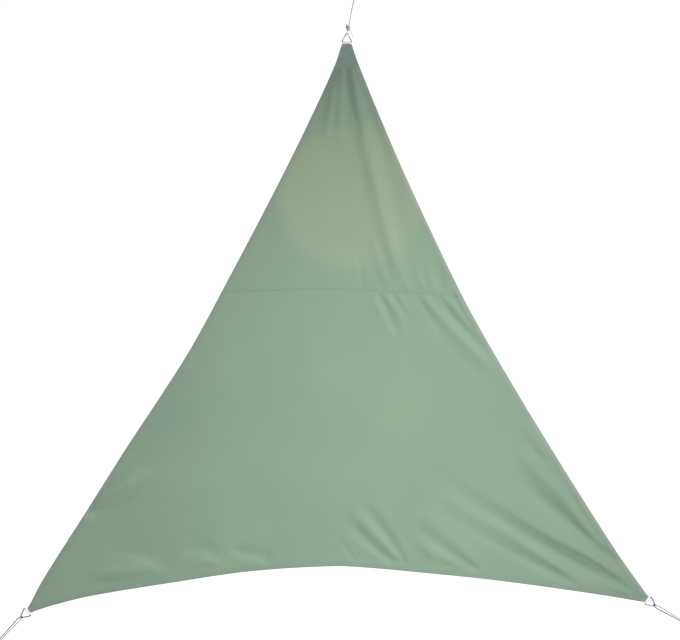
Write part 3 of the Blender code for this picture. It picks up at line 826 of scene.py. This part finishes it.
def waver(points):
    """The slack of any large cloth: slow swells of a fraction of a millimetre."""
    x, z = points.T
    return (
        0.0007 * np.sin(9 * x + 5 * z + 1.0) * np.sin(7 * z - 3 * x)
        + 0.0004 * np.sin(23 * x - 11 * z + 2.0) * np.sin(17 * z + 9 * x + 0.5)
    )


def puckers(points):
    """The cloth's small waves where its hems and seam are sewn."""
    height = np.zeros(len(points))
    for side in SIDES.values():
        inset, along = side.inset(points)
        height += swell(inset, *HEM_PUCKER) * ripple(along)
    x = points[:, 0]
    slack = 0.5 + 0.9 * smoothstep(x, -0.1, 0.3)
    return height + swell(above_seam(points), *SEAM_PUCKER) * slack * ripple(x * 0.9 + 0.4)


def relief(points):
    """How far behind its corners the cloth lies at each point."""
    tips = [np.linalg.norm(points - tip(name), axis=1) for name in CORNERS]
    free = smoothstep(np.min(tips, axis=0), *CORNER_FLAT)
    creases = sum(crease_height(c, points) for c in CREASES)
    return free * (creases + waver(points) - BELLY * belly(points)) + puckers(points)


def edge_inset(points):
    return np.min([side.inset(points)[0] for side in SIDES.values()], axis=0)


def rounded(inset, thick):
    """How far a face turns in towards the middle of the cloth, close to its edge."""
    share = np.clip(1 - inset / (thick / 2), 0.0, 1.0)
    return 0.85 * thick / 2 * (1 - np.sqrt(1 - share**2))


class Panel:
    """One piece of the cloth: its front and back surfaces."""

    def __init__(self, front, upper):
        self.front, self.upper = front, upper

    def owns(self, points):
        off = above_seam(points)
        return off > -LAP / 2 if self.upper else off < LAP / 2

    def surfaces(self, points):
        """Front and back at points of the flat cloth."""
        inset, off = edge_inset(points), above_seam(points)
        lap = (off + LAP / 2) if self.upper else (LAP / 2 - off)
        in_lap = np.abs(off) < LAP / 2 + GAP
        hemmed = 1 - smoothstep(inset, HEM_WIDTH, HEM_END)
        if self.upper:
            hemmed = np.where(in_lap, 0.0, hemmed)
        thick = CLOTH + (HEM - CLOTH) * hemmed
        sunk = swell(inset, GROOVE, STITCH_IN, GROOVE_WIDTH)
        sunk += in_lap * swell(np.abs(off), GROOVE, SEAM_STITCH, GROOVE_WIDTH)
        sunk += rounded(inset, thick) + rounded(lap, CLOTH)
        sunk = np.minimum(sunk, 0.45 * thick)
        front = self.front + relief(points)
        if not self.upper:
            below = -off - LAP / 2
            rise = smoothstep(below, 0.0, 0.001)
            front -= rise * swell(below, SEAM_SWELL, 0.0, SEAM_SWELL_REACH)
        return front + sunk, front + thick - sunk


# ---- the cloth's mesh ----


def cut_cloth():
    """The flat cloth as points and triangles, with rows of points along its hems and seam."""
    lines = {pair: side.line(HEM_POINTS) for pair, side in SIDES.items()}
    loop = np.vstack((
        lines["top", "left"], lines["left", "right"], lines["top", "right"][::-1],
    ))
    points, edges = [loop], []

    def add_line(line):
        first = sum(map(len, points))
        points.append(line)
        edges.extend((k, k + 1) for k in range(first, first + len(line) - 1))

    for pair in SIDES:
        for inset in HEM_ROWS:
            add_line(hem_line(pair, HEM_POINTS, inset, inset + 0.0002, 0.0004))
    for offset in sorted({s * row for row in SEAM_ROWS for s in (-1, 1)}):
        row = seam_line(offset, HEM_POINTS)
        add_line(row[edge_inset(row) > -0.01])
    for offset in SEAM_FOOT:
        row = seam_line(-offset, HEM_POINTS)
        add_line(row[edge_inset(row) > HEM_END + 0.003])
    low, high = loop.min(0), loop.max(0)
    height = CLOTH_STEP * math.sqrt(3) / 2
    columns = np.arange(low[0], high[0], CLOTH_STEP)
    field = np.vstack([
        np.column_stack((columns + CLOTH_STEP / 2 * (k % 2), np.full(len(columns), z)))
        for k, z in enumerate(np.arange(low[1], high[1], height))
    ])
    clear = edge_inset(field) > HEM_END + 0.4 * CLOTH_STEP
    clear &= np.abs(above_seam(field)) > LAP / 2 + 0.9 * CLOTH_STEP
    points.append(field[clear])
    found, _, faces, *_ = delaunay_2d_cdt(
        np.vstack(points).tolist(), edges, [list(range(len(loop)))], 1, 1e-7
    )
    return np.array([tuple(p) for p in found]), np.array(faces)


def add_panel(name, panel, points, faces, mat):
    kept = faces[panel.owns(points[faces].mean(axis=1))]
    used, kept = np.unique(kept, return_inverse=True)
    kept = kept.reshape(-1, 3)
    flat = points[used]
    front, back = panel.surfaces(flat)
    both = np.vstack([np.column_stack((flat[:, 0], y, flat[:, 1])) for y in (front, back)])
    count = len(flat)
    solid = kept.tolist() + (kept[:, ::-1] + count).tolist()
    runs = {(a, b) for face in kept.tolist() for a, b in zip(face, face[1:] + face[:1])}
    solid += [(b, a, a + count, b + count) for a, b in sorted(runs) if (b, a) not in runs]
    inset = edge_inset(flat)
    hem = 1 - smoothstep(inset, 0.6 * HEM_WIDTH, 1.1 * HEM_WIDTH)
    # The right edge's hem, painted lighter where light from the right catches it.
    lit_right_hem = 1.0 * (SIDES["top", "right"].inset(flat)[0] < 2 * HEM_WIDTH)
    greyed = swell(np.linalg.norm(flat - tip("top"), axis=1), 1.0, 0.0, TIP_GREY)
    # Painted shade: darker at the cloth's rim and along the hem's inner edge, less at the rim and
    # more along that row on the right edge.
    rim = swell(np.maximum(inset, 0.0), 0.30 - 0.22 * lit_right_hem, 0.0, 0.0045)
    row = swell(inset, 0.05 + 0.07 * lit_right_hem, HEM_WIDTH, 0.006)
    values = {"hem": hem, "lit_right_hem": lit_right_hem, "shade": rim + row, "tip": greyed}
    values = {key: np.tile(value, 2) for key, value in values.items()}
    obj = add_piece(name, both, solid, mat, 50, values)
    a, b, c = flat[kept.T]
    return obj, float(np.abs(cross(b - a, c - a)).sum() / 2)


# ---- stitches ----


def stitch_shape():
    """One stitch: a bowed bar of thread whose ends go down through the cloth."""
    stations = ((-0.5, -0.55, 0.5), (-0.3, 0.35, 1.0), (0.3, 0.35, 1.0), (0.5, -0.55, 0.5))
    points, faces = [], []
    for along, up, wide in stations:
        for c, s in map(heading, (45, 135, 225, 315)):
            points.append((along, c * wide * 0.5, (up + s * wide) * 0.5))
    for k in range(3):
        for j in range(4):
            n = (j + 1) % 4
            faces.append((4 * k + n, 4 * k + j, 4 * k + 4 + j, 4 * k + 4 + n))
    faces += [(0, 1, 2, 3), (15, 14, 13, 12)]
    return np.array(points), faces


def add_stitches(parts, line, heights, towards):
    """Stitches along a flat line; heights are the cloth's depth, towards is -1 at the front."""
    shape, faces = stitch_shape()
    spots = np.column_stack((line[:, 0], heights, line[:, 1]))
    along = run_length(spots)
    middles = np.arange(STITCH / 2, along[-1], STITCH)
    before, place, after = (
        np.column_stack([np.interp(middles + shift, along, spots[:, k]) for k in range(3)])
        for shift in (-0.001, 0.0, 0.001)
    )
    ahead = unit(after - before)
    up = unit((0.0, towards, 0.0) - ahead * (ahead[:, 1] * towards)[:, None])
    side = np.cross(ahead, up)
    a, s, u = shape.T
    for k in range(len(place)):
        points = (
            place[k] + np.outer(a * STITCH_LENGTH, ahead[k])
            + np.outer(s * THREAD, side[k]) + np.outer(u * THREAD, up[k])
        )
        parts.add(points, faces)


def sew_panels(upper, lower, mat):
    """The hems' single row of stitches and the seam's two, on both faces."""
    hems, seam = Parts(), Parts()
    for pair in SIDES:
        line = hem_line(pair, SEWN_STEP, STITCH_IN, 0.006, 0.004)
        off = above_seam(line)
        for face, towards in ((0, -1), (1, 1)):
            meet = towards * LAP / 2
            for part, panel in ((off > meet, upper), (off < meet, lower)):
                if part.sum() > 2:
                    add_stitches(hems, line[part], panel.surfaces(line[part])[face], towards)
    for offset in (-SEAM_STITCH, SEAM_STITCH):
        line = seam_line(offset, SEWN_STEP)
        line = line[edge_inset(line) > 0.002]
        add_stitches(seam, line, upper.surfaces(line)[0], -1)
        add_stitches(seam, line, lower.surfaces(line)[1], 1)
    return hems.piece("hem_stitches", mat, "cloth"), seam.piece("seam_stitches", mat, "cloth")


# ---- corner fittings ----


def rounded_triangle():
    """The ring's centre line as (across, out), its corners bent round."""
    corners = np.array(((-RING_BASE / 2, 0.0), (RING_BASE / 2, 0.0), (0.0, RING_HEIGHT)))
    line = []
    for i, corner in enumerate(corners):
        back, ahead = unit(corners[i - 1] - corner), unit(corners[(i + 1) % 3] - corner)
        half = math.acos(back.dot(ahead)) / 2
        inward = unit(back + ahead)
        centre = corner + inward * RING_BEND / math.sin(half)
        start = corner + back * RING_BEND / math.tan(half) - centre
        for turn in np.linspace(0.0, math.pi - 2 * half, 10):
            c, s = math.cos(turn), math.sin(turn)
            line.append(centre + (start[0] * c - start[1] * s, start[0] * s + start[1] * c))
    return line


def add_ring(name, mat):
    corner = CornerFrame(name)
    line = np.array([corner.place(across, 0.0, out) for across, out in rounded_triangle()])
    fine = []
    for a, b in zip(line, np.roll(line, -1, axis=0)):
        count = max(1, round(np.linalg.norm(b - a) / 0.004))
        fine += [a + (b - a) * k / count for k in range(count)]
    points, faces = tube(np.array(fine), WIRE / 2, 20, closed=True)
    ring = add_piece(f"{name}_wire_ring", points, faces, mat)
    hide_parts(f"{name}_ring")


def webbing_section(step):
    """The webbing's path from one sewn end round the bar to the other, as (depth, out)."""
    leg = WEB / 2 + GAP / 2
    turn = WIRE / 2 + WEB_SLACK + WEB / 2
    path = [(-leg, -BAR_OUT - WEB_LEG), (-leg, FLARE - BAR_OUT)]
    path += [turn * heading(degrees)[::-1] for degrees in range(-120, 121, 12)]
    path += [(leg, FLARE - BAR_OUT), (leg, -BAR_OUT - WEB_LEG)]
    path = np.array(path)
    along = run_length(path)
    at = np.linspace(0.0, along[-1], round(along[-1] / step) + 1)
    return np.column_stack([np.interp(at, along, path[:, k]) for k in range(2)]), at


def add_webbing(name, mat):
    """A folded length of ribbed webbing, thinner at its selvedges."""
    corner = CornerFrame(name)
    path, at = webbing_section(RIB / 4)
    ahead = unit(np.gradient(path, axis=0))
    normal = np.column_stack((-ahead[:, 1], ahead[:, 0]))
    across = np.array((-0.5, -0.492, *np.linspace(-0.47, 0.47, 15), 0.492, 0.5))
    rib = 0.5 + 0.5 * np.cos(2 * math.pi * at / RIB)
    points = []
    for k, share in enumerate(across):
        edge = 1 - 0.55 * smoothstep(abs(share), 0.485, 0.5)
        shift = 0.5 + 0.5 * np.cos(2 * math.pi * at / RIB + math.pi * (k % 2))
        half = WEB / 2 * edge - RIB_HEIGHT / 2 * (1 - 0.5 * rib - 0.5 * shift)
        for hand in (1, -1):
            spots = path + normal * half[:, None] * hand
            points.append([corner.place(share * WEB_WIDTH, d, o) for d, o in spots])
    points = np.array(points).reshape(-1, 3)
    grid = np.arange(len(points)).reshape(len(across), 2, -1)
    faces = strip(grid[0, 1], grid[0, 0]) + strip(grid[-1, 0], grid[-1, 1])
    for one, two in zip(grid, grid[1:]):
        faces += strip(one[0], two[0]) + strip(two[1], one[1])
    faces += strip(grid[:, 0, 0], grid[:, 1, 0]) + strip(grid[:, 1, -1], grid[:, 0, -1])
    web = add_piece(f"{name}_ribbed_webbing", points, faces, mat, 60)
    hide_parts(f"{name}_webbing")


def sew_webbing(name, thread):
    """The crossed box of stitches that holds the webbing to the cloth."""
    corner, panel, parts = CornerFrame(name), UPPER if name == "top" else LOWER, Parts()
    a, b, c, d = (
        (-BOX_HALF, -BOX_NEAR), (BOX_HALF, -BOX_NEAR), (BOX_HALF, -BOX_FAR), (-BOX_HALF, -BOX_FAR),
    )
    for route in ((a, b, c, d, a), (a, c), (b, d)):
        spots = np.array([corner.place(across, 0.0, out) for across, out in route])[:, ::2]
        line = np.vstack([
            p + (q - p) * np.linspace(0, 1, 12, endpoint=False)[:, None]
            for p, q in zip(spots, spots[1:])
        ] + [spots[-1:]])
        back = np.full(len(line), corner.depth + WEB + GAP / 2 - 0.0001)
        add_stitches(parts, line, back, 1)
        held = edge_inset(line) > 0.003
        if held.sum() > 2:
            add_stitches(parts, line[held], panel.surfaces(line[held])[0], -1)
    parts.piece(f"{name}_box_stitches", thread, "cloth")


UPPER, LOWER = Panel(UPPER_FRONT, True), Panel(LOWER_FRONT, False)


# ---- camera, stage and light ----


def add_camera():
    data = bpy.data.cameras.new("camera")
    data.sensor_width = 36.0
    data.lens = 36.0 * VIEW_DISTANCE / VIEW_WIDTH
    camera = add_object("camera", data)
    camera.location = (VIEW_CENTRE[0], -VIEW_DISTANCE, VIEW_CENTRE[1])
    camera.rotation_euler = (math.pi / 2, 0.0, 0.0)
    bpy.context.scene.camera = camera


def add_stage():
    mesh = bpy.data.meshes.new("floor")
    corners = ((-1, -1), (1, -1), (1, 1), (-1, 1))
    mesh.from_pydata([(x * FLOOR, y * FLOOR, FLOOR_Z) for x, y in corners], [], [(0, 1, 2, 3)])
    mesh.materials.append(floor_material())
    floor = add_object("floor", mesh)
    floor.visible_diffuse = floor.visible_transmission = floor.visible_glossy = False


def aim(obj, target):
    away = np.array(obj.location) - target
    obj.rotation_euler = (
        math.atan2(math.hypot(away[0], away[1]), away[2]), 0.0,
        math.atan2(away[0], -away[1]),
    )


def add_light(name, kind, place, target, power, colour=(1.0, 1.0, 1.0), **settings):
    data = bpy.data.lights.new(name, kind)
    data.energy, data.color = power, colour
    for key, value in settings.items():
        setattr(data, key, value)
    lamp = add_object(name, data)
    lamp.location = place
    aim(lamp, np.array(target))
    return lamp


def add_lights():
    """A white room seen by the camera, a softer one that lights the sail, and five lamps."""
    world = bpy.data.worlds.new("studio")
    bpy.context.scene.world = world
    world.use_nodes = True
    nodes, links = world.node_tree.nodes, world.node_tree.links
    soft, seen = nodes["Background"], nodes.new("ShaderNodeBackground")
    for node, colour, strength in (
        (soft, (0.94, 0.97, 1.0, 1.0), 0.205), (seen, (1.0, 1.0, 1.0, 1.0), 1.1),
    ):
        node.inputs["Color"].default_value = colour
        node.inputs["Strength"].default_value = strength
    path, mixed = nodes.new("ShaderNodeLightPath"), nodes.new("ShaderNodeMixShader")
    parts = path.outputs["Is Camera Ray"], soft.outputs[0], seen.outputs[0]
    for socket, part in zip(mixed.inputs, parts):
        links.new(part, socket)
    links.new(mixed.outputs[0], nodes["World Output"].inputs["Surface"])
    add_light(
        "key", "SPOT", (2.32, -3.67, 1.69), (-3.0, 0.0, -5.45), 1790,
        spot_size=math.radians(76), spot_blend=1.0, shadow_soft_size=0.40,
    )
    fill = add_light(
        "fill", "AREA", (0.60, -2.79, -4.27), (0.60, 0.0, -4.27), 70, shape="DISK", size=1.2,
    )
    fill.visible_glossy = False
    add_light(
        "top_corner", "SPOT", (0.30, -1.50, 0.10), (0.0, 0.0, -0.02), 29,
        spot_size=math.radians(10), spot_blend=1.0, shadow_soft_size=0.10,
    )
    add_light("side", "AREA", (2.6, -1.6, -0.6), (0.3, 0.0, -1.3), 11, shape="DISK", size=0.8)
    x, z = GLOW_CENTRE
    add_light(
        "warm_glow", "SPOT", (x, -3.0, z), (x, 0.0, z), 82, (1.0, 0.40, 0.19),
        spot_size=2 * math.atan(GLOW_RADIUS / 3.0), spot_blend=0.45, shadow_soft_size=0.03,
    )
    bpy.context.scene.view_settings.view_transform = "Standard"


# ---- the whole ----

add_camera()
rope_mat = rope_material()
top_rope(rope_mat)
doubled_rope("left", rope_mat)
doubled_rope("right", rope_mat)

cloth_mat, web_mat, thread_mat, steel_mat = (
    cloth_material(), webbing_material(), thread_material(), steel_material(),
)
for corner_name in CORNERS:
    add_ring(corner_name, steel_mat)
    add_webbing(corner_name, web_mat)
    sew_webbing(corner_name, thread_mat)
flat_points, flat_faces = cut_cloth()
upper_cloth, upper_area = add_panel("upper_cloth", UPPER, flat_points, flat_faces, cloth_mat)
lower_cloth, lower_area = add_panel("lower_cloth", LOWER, flat_points, flat_faces, cloth_mat)
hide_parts("upper_panel")
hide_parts("lower_panel")
hem_stitches, seam_stitches = sew_panels(UPPER, LOWER, thread_mat)
add_stage()
add_lights()
